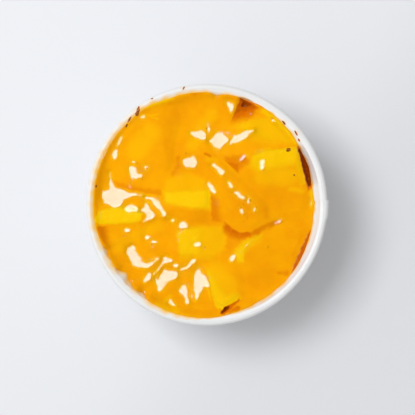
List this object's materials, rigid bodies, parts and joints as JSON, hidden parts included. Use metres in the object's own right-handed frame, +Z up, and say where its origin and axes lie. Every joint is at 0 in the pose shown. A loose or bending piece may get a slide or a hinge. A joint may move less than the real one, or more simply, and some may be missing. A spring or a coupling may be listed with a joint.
{
  "type": "cup of mango chunks in sauce",
  "caption": "Round paper dessert cup with a rolled rim, filled to the rim with mango chunks in a glossy mango sauce.",
  "frame": {"origin": "centre of the underside of the cup, on the surface that it stands on", "axes": "+Z up along the cup's axis, +Y towards the top of the picture, +X towards its right"},
  "size_m": [0.0984, 0.098, 0.06],
  "materials": {
    "cup_paper": "smooth coated white paper",
    "base_paper": "smooth white paper",
    "mango_flesh": "wet, glossy fruit flesh",
    "mango_sauce": "wet, glossy fruit sauce"
  },
  "bodies": {
    "root": {"cup_wall": "cup_paper", "cup_base": "base_paper", "sauce": "mango_sauce", "mango_upper_left": "mango_flesh", "mango_top": "mango_flesh", "mango_upper_right": "mango_flesh", "mango_right": "mango_flesh", "mango_centre_slice": "mango_flesh", "mango_centre": "mango_flesh", "mango_upper_centre": "mango_flesh", "mango_lower_centre": "mango_flesh", "mango_lower_right": "mango_flesh", "mango_bottom": "mango_flesh", "mango_bottom_right": "mango_flesh", "mango_left_slice": "mango_flesh", "mango_left": "mango_flesh", "mango_lower_left": "mango_flesh"}
  },
  "joints": []
}
